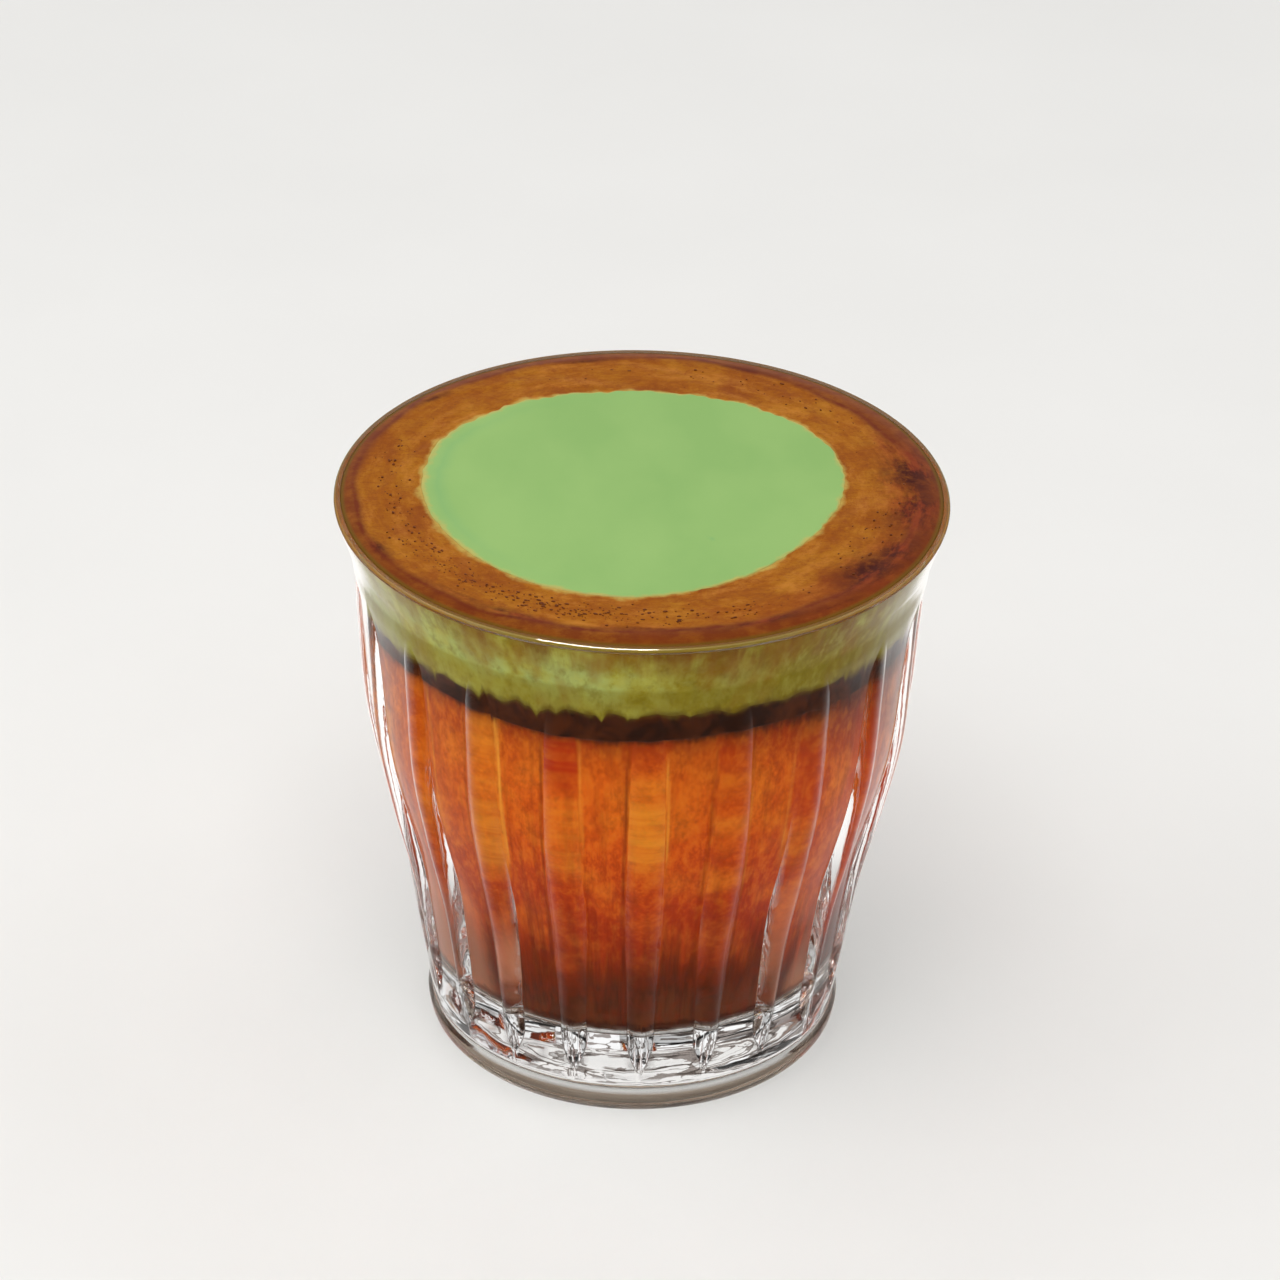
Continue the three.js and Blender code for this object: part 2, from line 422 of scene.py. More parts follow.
    def blend(self, share, first, second):
        return self.add("MixShader", {0: share, 1: first, 2: second})

    def finish(self, shader):
        self.put(self.output.inputs["Surface"], shader)
        return self.owner


# Light that meets the drink from inside the glass at a flat angle is mirrored back out
GLASS_IOR = 1.5
DRINK_IOR = 1.252

# The boundary brightens before it mirrors fully: (facing from, facing to, share from, share to)
SOFT_MIRROR = (0.31, 0.45, 0.0, 0.5)


def behind_glass(n):
    """A drink, mirrored by its boundary with the glass where light meets that too flatly to pass."""
    fresnel = n.add("Fresnel", {"IOR": DRINK_IOR / GLASS_IOR})
    share = n.larger(fresnel, n.range(n.facing(), *SOFT_MIRROR, smooth=True))
    mirror = n.add("BsdfGlossy", {"Color": (1, 1, 1), "Roughness": 0.0})
    return n.finish(n.blend(share, n.surface(0.4, 0.0), mirror))


# Colours of the coffee from the floor of the glass up, its own and a painted glow of light through it,
# brightest half way up: (height, colour)
COFFEE_COLOURS = (
    (14, (100, 52, 26)),
    (20, (84, 36, 15)),
    (26, (122, 40, 10)),
    (32, (168, 50, 8)),
    (40, (200, 64, 10)),
    (50, (226, 88, 16)),
    (61, (230, 100, 20)),
    (66, (206, 82, 14)),
    (70, (166, 58, 11)),
)


def coffee_material():
    n = Nodes("orange_coffee")
    height, tone, strip, glint = [n.value(name) for name in ("height", "tone", "strip", "glint")]
    upper = n.range(height, 22, 44)
    mottle = n.noise(6.5, 4, 0.55, (1, 1, 0.8))
    fine = n.noise(1.6, 7, 0.78, wall=(1, 1, 0.6))
    streak = n.noise(2.2, 5, 0.68, wall=(1, 1, 0.07))
    lines = n.noise(1.7, 5, 0.68, (0.1, 0.1, 1))
    level = n.stirred(n.stirred(height, mottle, 12.0), streak, n.range(height, 44, 26, 6.0, 34.0))
    lowest, highest = COFFEE_COLOURS[0][0], COFFEE_COLOURS[-1][0]
    stops = [((h - lowest) / (highest - lowest), srgb(*c)) for h, c in COFFEE_COLOURS]
    n.colour = n.ramp(n.range(level, lowest, highest), stops)
    # Painted light and shade by side: redder on the shaded right, yellower on the lit left
    n.paint(n.times(n.range(tone, 0.5, 0.15, 0, 0.45), upper), 172, 46, 9)
    n.paint(n.times(n.range(tone, 0.66, 0.9, 0, 0.5), upper), 178, 84, 18)
    # Painted reflection of the glass seen edge-on: greyish brown at the outline
    outline = n.larger(n.range(tone, 0.93, 0.985, 0, 0.85), n.range(tone, 0.07, 0.015, 0, 0.8))
    n.paint(n.times(outline, n.range(height, 44, 58)), 104, 72, 36)
    # Painted shade: darker in the upper right corner
    n.paint(n.times(n.range(tone, 0.22, 0.1, 0, 0.75), n.range(height, 57, 68)), 84, 34, 12)
    # Bright clouds, partly the drink's mottling and partly a painted glow of light through it; fine grain and
    # dark threads
    n.paint(n.times(n.range(mottle, 0.48, 0.68, 0, 0.5), upper), 236, 128, 30)
    n.paint(n.times(n.range(fine, 0.48, 0.68, 0, 0.5), upper), 242, 136, 34)
    n.paint(n.range(fine, 0.52, 0.34, 0, 0.5), 136, 42, 9)
    n.paint(n.times(n.range(streak, 0.5, 0.34, 0, 0.4), n.range(height, 70, 40, 0.5, 1.0)), 120, 34, 7)
    # Painted light and shade: yellow and red strips that the ribs focus, broken up by level lines, and
    # painted glints and dark lines beside them
    n.paint(n.times(n.range(strip, 0, 1, 0, 0.78), n.range(lines, 0.4, 0.6, 0.4, 1.0)), 250, 160, 44)
    n.paint(n.times(n.range(strip, 0, -1, 0, 0.85), n.range(lines, 0.56, 0.4, 0.45, 1.0)), 184, 40, 8)
    n.paint(glint, 252, 176, 60)
    n.paint(n.times(glint, -1.0), 86, 24, 6)
    n.paint(n.value("pale"), 240, 164, 124)
    # The dark band sinks in at the top, and the coffee's underside is painted pale grey, a painted reflection
    # of the light that the base mirrors
    edge = n.stirred(n.value("below_band"), n.noise(1.5, 5, 0.66, wall=(1, 1, 0.25)), 3.4)
    n.paint(n.range(edge, 5.0, 0.6, 0, 0.4, smooth=True), 118, 44, 10)
    n.paint(n.range(edge, 1.9, -0.5, smooth=True), 66, 28, 9)
    n.paint(n.value("underside_reflection"), n.mix(n.range(mottle, 0.45, 0.55), srgb(96, 70, 56), srgb(172, 160, 150)))
    return behind_glass(n)


def espresso_material():
    n = Nodes("dark_espresso")
    cloud = n.noise(4, 5, 0.64, (1, 1, 0.8), distortion=0.6)
    n.colour = n.mix(n.range(cloud, 0.4, 0.6), srgb(44, 18, 6), srgb(78, 35, 12))
    depth = n.stirred(n.value("below_milk"), n.noise(1.8, 4, 0.6, wall=(1, 1, 0.3)), 2.0)
    n.paint(n.range(depth, 0.9, -0.3, 0, 0.8, smooth=True), 98, 76, 18)
    return behind_glass(n)


def matcha_milk_material():
    n = Nodes("olive_matcha_milk")
    height, tone, stained = [n.value(name) for name in ("height", "tone", "stained")]
    cloud = n.noise(5.5, 5, 0.62, (1, 1, 0.8))
    n.colour = n.mix(n.range(cloud, 0.38, 0.62), srgb(158, 141, 30), srgb(190, 183, 74))
    # Painted light and shade: paler half way up on the lit left, darker on the shaded right; and cloudy
    pale = n.range(n.noise(9, 4, 0.6), 0.42, 0.58, 0.1, 0.8)
    middle = n.times(n.range(height, 76, 79, 0.35, 1.0), n.range(height, 86, 82, 0.25, 1.0))
    n.paint(n.times(pale, n.range(tone, 0.12, 0.55), middle), 180, 194, 112)
    n.paint(n.range(tone, 0.55, 0.2, 0, 0.72), 124, 98, 14)
    fine = n.noise(1.6, 5, 0.66, wall=(1, 1, 0.6))
    n.paint(n.range(fine, 0.5, 0.66, 0, 0.4), 192, 190, 90)
    n.paint(n.range(fine, 0.5, 0.34, 0, 0.42), 108, 86, 12)
    # Stains and drops that sink from the crema
    stain_and_reflection = n.plus(n.noise(5.5, 3, 0.5, wall=(1, 1, 0.45)), n.range(height, 78, 86.8, -0.08, 0.06))
    n.paint(n.times(n.range(stain_and_reflection, 0.47, 0.64), stained), 140, 82, 14)
    drops = n.range(n.noise(4, 4, 0.6, wall=(1, 1, 0.2)), 0.49, 0.6, 0, 0.95)
    n.paint(n.times(drops, n.range(height, 80.5, 85.5, 0.1, 1.0), stained), 116, 50, 8)
    # Darker at the top and towards the dark band
    n.paint(n.range(height, 86.1, 86.7, 0, 0.6), 118, 74, 14)
    # Painted reflection of the glass seen edge-on: greyer and darker at the outline
    n.paint(n.larger(n.range(tone, 0.88, 0.96, 0, 0.55), n.range(tone, 0.12, 0.04, 0, 0.55)), 124, 120, 50)
    # Painted shade under the glass's ledge
    n.paint(n.range(height, 79.3, 78.2, 0, 0.4, smooth=True), 124, 108, 16)
    above = n.stirred(n.value("above_band"), n.noise(1.8, 4, 0.6, wall=(1, 1, 0.3)), 2.6)
    n.paint(n.range(above, 1.3, -0.2, 0, 0.8, smooth=True), 96, 74, 16)
    return behind_glass(n)


# Tones of the crema over its clouds: (noise, red, green, blue)
CREMA_COLOURS = ((0.28, 134, 66, 8), (0.45, 152, 86, 12), (0.58, 160, 97, 16), (0.72, 170, 110, 28))


def crema_material():
    n = Nodes("brown_crema")
    cloud = n.noise(7, 5, 0.62, distortion=0.6)
    n.colour = n.ramp(cloud, [(at, srgb(*colour)) for at, *colour in CREMA_COLOURS])
    fine = n.noise(1.1, 4, 0.65)
    n.paint(n.range(fine, 0.55, 0.8, 0, 0.35), 184, 122, 50)
    n.paint(n.range(fine, 0.45, 0.25, 0, 0.45), 122, 56, 12)
    streaks = n.noise(2.6, 6, 0.7, vector=n.wall((0.3, 0.3, 1), disc=True))
    n.paint(n.range(streaks, 0.5, 0.66, 0, 0.55), 190, 122, 46)
    n.paint(n.range(streaks, 0.5, 0.34, 0, 0.5), 124, 56, 14)
    swirl = n.noise(4.5, 6, 0.68, (1, 0.6, 1), distortion=0.5)
    n.paint(n.range(swirl, 0.52, 0.66, 0, 0.5), 128, 58, 14)
    crack = n.off_middle(n.noise(2.4, 5, 0.7, (0.6, 1.6, 1)))
    n.paint(n.range(crack, 0.022, 0.0, 0, 0.5), 116, 50, 12)
    # Dark ring and wet places, olive at the wall, and cream along the foam
    n.paint(n.value("shaded"), 132, 54, 12)
    ring = n.value("ring")
    n.paint(n.times(ring, n.range(n.noise(3.5, 4, 0.6), 0.4, 0.6, 0.7, 1.1)), 106, 42, 10)
    wet = n.times(n.value("dark"), n.range(n.noise(1.6, 5, 0.7), 0.36, 0.56, 0.55, 1.1))
    n.paint(wet, n.mix(n.range(streaks, 0.46, 0.6), srgb(66, 22, 12), srgb(132, 52, 20)))
    n.paint(n.value("olive"), 104, 76, 18)
    n.paint(n.value("side"), 140, 108, 34)
    n.paint(n.fringe(), 184, 158, 78)
    grain = n.plus(n.times(fine, 0.6), n.times(n.noise(0.45, 2, 0.6), 0.4))
    return n.finish(n.surface(n.range(ring, 0, 1, 0.5, 0.3), 0.03, {"Normal": n.bump(grain, 0.1, 0.4)}))


def foam_material():
    n = Nodes("green_matcha_foam")
    cloud = n.noise(14, 3, 0.5, (1, 0.6, 1))
    n.colour = n.mix(n.range(cloud, 0.35, 0.65), srgb(133, 172, 96), srgb(142, 179, 102))
    n.paint(n.value("shade"), 112, 164, 104)
    n.paint(n.fringe(), 184, 166, 86)
    return n.finish(n.surface(0.55, 0.12, {"Normal": n.bump(n.noise(0.6, 3, 0.6), 0.04, 0.35)}))


# Seen along its surface, the glass mirrors more and more: (facing from, facing to, share from, share to)
GRAZING_MIRROR = (0.79, 0.91, 0.0, 0.85)


def glass_material():
    n = Nodes("clear_glass")
    ripple = n.noise(1.1, 3, 0.6, (0.1, 0.1, 1))
    on_rib = n.plus(n.times(ripple, 0.5), n.times(n.noise(3, 3, 0.55, (1, 1, 0.7)), 1.6))
    swell = n.plus(n.times(on_rib, n.value("rib")), n.noise(5, 2, 0.5))
    # The foot is tinted in level bands
    band = n.noise(0.9, 4, 0.65, (0.04, 0.04, 1))
    foot = n.mix(n.range(band, 0.4, 0.6), srgb(128, 103, 82), srgb(160, 137, 115))
    n.colour = n.mix(n.value("foot"), (0.985, 0.99, 0.99), foot)
    # Painted reflections: the thick base mirrors itself in thin dark lines
    flow = n.noise(22, 2, 0.45, wall=(1, 1, 7.5))
    weight = n.range(n.noise(5, 4, 0.6, wall=(1, 1, 3.2)), 0.4, 0.62, 0.02, 0.26)
    line = n.times(n.contour(flow, 6.0, weight), n.value("low"))
    bend = n.noise(4.5, 3, 0.55, wall=(1.6, 1.6, 0.7))
    curls = n.times(n.contour(bend, 6.0, 0.13), n.value("low_rib"))
    line = n.larger(n.larger(line, curls), n.value("outline"))
    n.paint(n.times(line, 0.92), n.mix(n.noise(5, 2), srgb(10, 8, 6), srgb(84, 56, 36)))
    # Painted shade round the drink's floor, and painted brown reflections of the drink below it
    edge = n.value("edge")
    drink_floor_shade = n.range(n.stirred(edge, n.noise(2.2, 4, 0.65), 1.6), 0.4, 0.9)
    n.paint(n.times(drink_floor_shade, n.range(edge, 0.0, 0.3), 0.8), 92, 58, 36)
    n.paint(n.value("stain_and_reflection"), n.mix(n.range(flow, 0.44, 0.56), srgb(60, 26, 10), srgb(186, 120, 66)))
    inputs = {"IOR": GLASS_IOR, "Transmission Weight": 1.0, "Specular Tint": (0.08, 0.08, 0.08, 1)}
    glass = n.surface(0.0, 0.5, {**inputs, "Normal": n.bump(swell, 0.05, 0.5)})
    grazing = n.range(n.facing(), *GRAZING_MIRROR, smooth=True)
    mirror = n.add("BsdfGlossy", {"Color": (0.97, 0.96, 0.95), "Roughness": 0.0})
    # Shadow and diffuse rays pass straight through
    rays = n.add("LightPath").outputs
    passed = n.larger(rays["Is Shadow Ray"], rays["Is Diffuse Ray"])
    clear = n.add("BsdfTransparent", {"Color": (0.97, 0.975, 0.975)})
    return n.finish(n.blend(passed, n.blend(grazing, glass, mirror), clear))


# Tones of the lip, with a painted highlight band on its shoulder, from its outside over its top to its
# inside: (share of the half circle, red, green, blue)
LIP_COLOURS = (
    (0.0, 112, 80, 20),
    (0.08, 150, 130, 44),
    (0.18, 146, 124, 42),
    (0.24, 172, 152, 84),
    (0.29, 162, 138, 72),
    (0.34, 122, 88, 26),
    (0.5, 124, 76, 22),
    (0.7, 116, 62, 16),
)


def lip_material():
    """The thin lip takes the tone of the drink that it holds, with painted light in front only."""
    n = Nodes("clear_glass_lip")
    lit = n.ramp(n.value("section"), [(at, srgb(*colour)) for at, *colour in LIP_COLOURS])
    tone = n.add("BsdfDiffuse", {"Color": n.mix(n.value("lit"), n.mix(0.55, lit, srgb(112, 78, 26)), lit)})
    gloss = n.add("BsdfGlossy", {"Color": (1.0, 0.95, 0.8, 1), "Roughness": 0.02})
    return n.finish(n.blend(n.value("lip"), n.add("BsdfTransparent"), n.blend(0.035, tone, gloss)))


# The floor within this radius counts as under the glass
UNDER_RADIUS = 34.0


def floor_material():
    n = Nodes("pale_floor")
    n.colour = n.mix(n.noise(60, 3), srgb(232, 231, 228), srgb(238, 237, 234))
    # Mirrored in the glass, the floor is dimmer in front, bright under the glass, and glows behind it
    _, y, _, out = n.axes()
    dim = n.mix(n.math("LESS_THAN", out, UNDER_RADIUS), n.range(y, -50, 40, 0.36, 1.0), (1.08, 1.08, 1.08))
    mirrored = n.add("LightPath").outputs["Is Glossy Ray"]
    n.paint(mirrored, n.mix(1.0, n.colour, dim, blend="MULTIPLY"))
    glow = n.times(mirrored, n.range(y, -10, 50, 0.0, 0.22))
    return n.finish(n.surface(0.6, 0.0, {"Emission Color": (1, 1, 1), "Emission Strength": glow}))


def finish_piece(piece, material, slot, *nodes):
    piece.data.materials.append(material)
    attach(piece, "root")
    if nodes:
        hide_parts(*nodes)


# The glass
def glass_azimuths(height):
    """Columns that keep to the sides of the ribs, however wide these are at a height."""
    within = np.array([0, 0.22, 0.42, 0.6, 0.75, 0.86, 0.93, 0.98, 1.0, 1.03, 1.09])
    edge = RIB_HALF_ANGLE * max(float(rib_width(height)), 0.3)
    flank = np.concatenate([-within[:0:-1], within]) * edge
    panel = np.linspace(flank[-1], PITCH + flank[0], 7)[1:-1]
    offsets = np.concatenate([flank, panel])
    return np.concatenate([rib_azimuth(k) + offsets for k in range(RIB_COUNT)])


# The lip has a narrow flat shoulder between these angles on its section, which carries the highlight
SHOULDER = (41, 53)


def lip_profile():
    """The lip's round section with its flat shoulder."""
    first, last = [np.array([math.cos(a), math.sin(a)]) for a in np.radians(SHOULDER)]
    points = [(math.cos(a), math.sin(a)) for a in np.radians([0, 12, 24, 36])]
    points += [tuple(first + (last - first) * t) for t in (0, 0.06, 0.5, 0.94, 1)]
    points += [(math.cos(a), math.sin(a)) for a in np.radians([60, 72, 85, 95, 105, 120, 135, 150, 165, 180])]
    return [(LIP_MIDDLE + LIP_RADIUS * x, LIP_CENTRE + LIP_RADIUS * y) for x, y in points]


# Painted brown reflections of the coffee in the base: (azimuth, height, half width, half height, strength)
BASE_REFLECTIONS = (
    (-42, 11.5, 2.6, 2.2, 0.75),
    (-26.5, 9.6, 3.4, 1.5, 0.7),
    (-22, 12.4, 2.0, 1.2, 0.5),
    (-60, 10.5, 3.0, 2.6, 0.6),
    (58, 12, 2.5, 1.8, 0.5),
)


def base_reflections(azimuth, height):
    total = np.zeros(azimuth.shape)
    for centre, middle, half_width, half_height, strength in BASE_REFLECTIONS:
        out = np.hypot(apart(azimuth, centre) / half_width, (height - middle) / half_height)
        total = np.maximum(total, strength * bell((out - 0.75) / 0.3))
    return total


# Rows without ribs take the columns of the ribs at this height
QUIET = RIB_WIDTH_LINE[4][0]


def wall_outside(height):
    azimuths = glass_azimuths(height)
    ledge = BAND_STEP * smoothstep(height, 70, BAND_LINE - 1)
    ledge = ledge * smoothstep(height, BAND_LINE + 1, BAND_LINE - 0.6)
    marks = MARK_DEPTH * smoothstep(height, 5, 12) * Wobble(11, (3, 16), 24, (0.05, 0.22))(azimuths, height)
    return outer_radius(height, azimuths) + ledge + marks * (height < MARKS_TOP)


def build_glass():
    # A row is (radius, height, height whose columns it takes), from the recess up and down again inside
    rows = flat(RECESS_DEPTH, (8, 15, 20, RECESS_RADIUS - 1))
    for t in np.linspace(0, 1, 7):
        rows.append((RECESS_RADIUS - 0.5 + 2.5 * t, RECESS_DEPTH * (1 - float(smoothstep(t, 0, 1)))))
    rows += arc(FOOT_RADIUS - FOOT_EDGE_RADIUS, FOOT_EDGE_RADIUS, FOOT_EDGE_RADIUS, -90, 0, 9)
    rows += [(FOOT_RADIUS, FOOT_BAND_TOP - 0.2), (FOOT_RADIUS - 0.04, FOOT_BAND_TOP)]
    rows += [(30.3, 4.65), (30.08, 4.95)]
    rows = [(r, h, QUIET) for r, h in rows]
    steps = ((LOWER_WALL, 14.9, 20), (15, 73, 62), (73.5, 77.2, 7), (77.7, 86.7, 19))
    rows += [(wall_outside(h), h, h) for low, high, count in steps for h in np.linspace(low, high, count)]
    lip_from = len(rows)
    rows += [(r, h, QUIET) for r, h in lip_profile()]
    lip_to = len(rows)
    inner_marks = Wobble(12, (2, 12), 24, (0.05, 0.2))
    for h in np.concatenate([np.linspace(86.6, 76, 13), np.linspace(75, 17.6, 34)]):
        marks = MARK_DEPTH * inner_marks(glass_azimuths(QUIET), h) * (h < MARKS_TOP)
        rows.append((radius_on(INNER_LINE, h) + marks, h, QUIET))
    floor = arc(CORNER_REACH - CORNER_RADIUS, CORNER_TOP, CORNER_RADIUS, 0, -90, 9)
    floor += flat(FLOOR_HEIGHT, (18, 12, 6))
    rows += [(r, h, QUIET) for r, h in floor]
    azimuths = np.array([glass_azimuths(h) for *_, h in rows])
    radii, heights, _ = grid_of(rows, azimuths.shape[1])
    half = RIB_HALF_ANGLE * np.clip(rib_width(heights), 0.1, 1)
    off_rib = np.abs(from_rib(azimuths))
    share = off_rib / half
    outside = radii > OUTSIDE_FROM
    beside = smoothstep(np.abs(off_rib - half), 0.3, 0.1)
    attributes = {
        "rib": smoothstep(RIB_HALF_ANGLE + 0.3 - off_rib, 0, 0.8) * smoothstep(heights, 10, 20),
        "foot": smoothstep(heights, FOOT_BAND_TOP + 0.6, FOOT_BAND_TOP) * smoothstep(radii, 26, 29),
        "low": smoothstep(heights, 16.8, 16.2) * smoothstep(heights, 6.2, 6.8) * outside * (share > 1.02),
        "low_rib": (heights < 17.5) * (heights > 8) * (share < 0.98) * outside,
        "outline": beside * smoothstep(heights, 19, 15) * (heights > 8) * outside,
        "stain_and_reflection": base_reflections(azimuths, heights) * outside,
        "edge": smoothstep(heights, 14.6, 16.2) * smoothstep(heights, 18.5, 17) * outside,
        "lip": np.where(radii > LIP_MIDDLE - 0.35, 0.75, 0.05),
        "lit": hump(azimuths, 0, 38),
        "section": np.arctan2(heights - LIP_CENTRE, radii - LIP_MIDDLE) / math.pi,
    }
    glass = turned("glass_tumbler", [row[:2] for row in rows], azimuths, attributes)
    finish_piece(glass, glass_material(), "clear_glass", "glass")
    glass.data.materials.append(lip_material())
    for face in range((lip_from - 1) * azimuths.shape[1], lip_to * azimuths.shape[1]):
        glass.data.polygons[face].material_index = 1


# The drink below the foam
def even(count):
    return np.arange(count) * 360 / count


def wall_radius(height):
    return radius_on(INNER_LINE, height) + PRESS


# Rows this close to an edge keep its rounding out of sight
EDGE_ROW = 0.015


def crisp_side(low, high, count):
    """Rows up the side of a layer, doubled at both edges so that its smooth shading ends there."""
    heights = [low + (high - low) * t for t in np.linspace(0, 1, count)]
    heights = [low, low + EDGE_ROW] + heights[1:-1] + [high - EDGE_ROW, high]
    inner = [(wall_radius(h) - EDGE_ROW, h) for h in (low, high)]
    return [inner[0]] + [(wall_radius(h), h) for h in heights] + [inner[1]]


def band_low(azimuth):
    """Lower edge of the dark band."""
    return ESPRESSO_BOTTOM + 0.35 * Wobble(21, (1, 6), 5)(azimuth)


# How many drips the green layer has round its lower edge
DRIPS = 46


def band_high(azimuth):
    """Upper edge of the dark band: a ragged line with small drips of the green layer."""
    line = MATCHA_BOTTOM + 0.35 * Wobble(22, (1, 5), 4)(azimuth)
    line = line + 0.22 * Wobble(23, (14, 60), 12)(azimuth)
    draw = random.Random(24)
    for _ in range(DRIPS):
        centre, width, depth = draw.uniform(-180, 180), draw.uniform(0.5, 1.8), draw.uniform(0.3, 1.5)
        line = line - depth * np.clip(1 - np.abs(apart(azimuth, centre)) / width, 0, 1) ** 1.4
    return line


def painted_side_light(azimuth):
    """Painted light and shade by side: 1 on the lighter left side, 0 on the darker right side."""
    return 0.5 - 0.5 * np.sin(np.radians(azimuth))


# Painted light and shade that the ribs focus into strips on the coffee: (rib, lowest, highest, from -1 for
# red to 1 for yellow)
RIB_STRIPS = (
    (-2, 57, 71, 0.45),
    (-2, 43, 55, 0.6),
    (-1, 61.2, 71, -1.0),
    (-1, 58.6, 59.6, 0.45),
    (-1, 46, 57, 0.4),
    (0, 49, 58, 0.9),
    (0, 59, 64, 0.4),
    (0, 66, 70, -0.3),
    (1, 57, 68, -0.35),
    (1, 54, 56, 0.5),
    (2, 53, 66, -0.5),
    (2, 44, 51, 0.25),
)


def rib_strip_light(azimuth, height):
    """The painted light and shade behind each rib: the listed strips in front, and seeded ones on the ribs
    that have none.
    """
    draw = random.Random(41)
    strips = list(RIB_STRIPS)
    for rib in range(3, RIB_COUNT - 2):
        cut = draw.uniform(50, 62)
        strips.append((rib, 46, cut, draw.uniform(-0.6, 0.7)))
        strips.append((rib, cut, 70, draw.uniform(-0.7, 0.6)))
    total = np.zeros(height.shape)
    for rib, lowest, highest, tone in strips:
        across = smoothstep(np.abs(apart(azimuth, rib_azimuth(rib))), 4.3, 2.8)
        along = smoothstep(height, lowest - 3.5, lowest + 1.5)
        total = total + tone * across * (along * smoothstep(height, highest + 1.8, highest - 1.8))
    return total


# Where a rib's side brightens or darkens the coffee beside it: (rib, side, lowest, highest, strength)
RIB_GLINTS = (
    (-3, 1, 50, 70, 0.3),
    (-2, 1, 46, 73, 0.7),
    (-1, 1, 50, 70, 0.35),
    (0, 1, 48, 66, 0.55),
    (1, 1, 40, 60, 0.2),
    (2, -1, 46, 64, 0.25),
    (-2, -1, 30, 70, -0.35),
    (-1, -1, 30, 70, -0.5),
    (0, -1, 24, 68, -0.55),
    (1, -1, 40, 68, -0.3),
    (1, 1, 62, 70, -0.4),
)


# Pale places low on the coffee's side, where it is lit through the glass:
# (azimuth as seen, half width, lowest, highest, strength)
PALE_PLACES = (
    (36, 2.2, 10, 47, 0.3),
    (-31, 2.6, 17, 37, 0.45),
    (47, 8, 26, 60, 0.16),
    (-44, 7, 12, 44, 0.28),
    (-58, 8, 10, 42, 0.4),
    (48, 6, 12, 30, 0.35),
    (-34, 2.0, 14, 30, 0.2),
)


def pale_places(azimuth, height):
    total = np.zeros(height.shape)
    for seen, half_width, lowest, highest, strength in PALE_PLACES:
        centre = seen + 8 * math.sin(math.radians(seen))
        taper = smoothstep(height, highest, highest - 14) * smoothstep(height, lowest, lowest + 4)
        off = np.abs(apart(azimuth, centre))
        across = smoothstep(off, half_width * (0.3 + taper), half_width * 0.3 * taper)
        total = total + strength * taper * across
    return np.clip(total, 0, 0.7)


def rib_glints(azimuth, height):
    total = np.zeros(height.shape)
    for rib, side, lowest, highest, strength in RIB_GLINTS:
        edge = rib_azimuth(rib) + side * (RIB_HALF_ANGLE * rib_width(height) + 0.6)
        along = smoothstep(height, lowest - 3, lowest + 3) * smoothstep(height, highest + 2, highest - 2)
        total = total + strength * hump(azimuth - edge, 0.035 * (edge - RIB_TURN), 0.3) * along
    return total


def build_coffee():
    azimuths = even(COFFEE_COLUMNS)
    top = band_low(azimuths)
    rows = flat(FLOOR_HEIGHT - PRESS, (8, 16, 21))
    rows += arc(CORNER_REACH - CORNER_RADIUS, CORNER_TOP, CORNER_RADIUS + PRESS, -90, 0, 9)
    rows += crisp_side(np.full_like(top, CORNER_TOP), top, 76)[3:]
    rows += flat(ESPRESSO_BOTTOM)[::-1]
    _, heights = grid_of(rows, len(azimuths))
    sunk = 2.8 * hump(azimuths, 10, 12) + 0.8 * Wobble(42, (5, 26), 12)(azimuths)
    right = smoothstep(np.sin(np.radians(azimuths)), 0.15, 0.6)
    attributes = {
        "height": heights - sunk * smoothstep(heights, 48, 30),
        "below_band": (top - heights) * (1.5 - 0.95 * right),
        "tone": painted_side_light(azimuths),
        "strip": rib_strip_light(azimuths, heights),
        "glint": rib_glints(azimuths, heights),
        "pale": pale_places(azimuths, heights),
        "underside_reflection": smoothstep(heights, 15.5, 13.5),
    }
    finish_piece(turned("coffee_drink", rows, azimuths, attributes), coffee_material(), "coffee", "coffee")


def build_espresso():
    azimuths = even(LAYER_COLUMNS)
    low, high = band_low(azimuths) - 0.05, band_high(azimuths)
    rows = flat(ESPRESSO_BOTTOM) + crisp_side(low, high, 7) + flat(MATCHA_BOTTOM)[::-1]
    _, heights = grid_of(rows, len(azimuths))
    layer = turned("espresso_layer", rows, azimuths, {"below_milk": high - heights})
    finish_piece(layer, espresso_material(), "espresso", "espresso_band")


def build_matcha_milk():
    azimuths = even(LAYER_COLUMNS)
    low = band_high(azimuths) - 0.03
    side = crisp_side(low, np.full_like(low, CREMA_SIDE_BOTTOM + 0.05), 22)
    rows = flat(MATCHA_BOTTOM) + side + flat(CREMA_BOTTOM)[::-1]
    _, heights = grid_of(rows, len(azimuths))
    attributes = {
        "height": heights,
        "above_band": heights - low,
        "tone": painted_side_light(azimuths),
        "stained": 0.26 + 0.4 * hump(azimuths, -6, 34) + 0.2 * hump(azimuths, 32, 18),
    }
    layer = turned("matcha_milk_layer", rows, azimuths, attributes)
    finish_piece(layer, matcha_milk_material(), "matcha_milk", "matcha_milk")


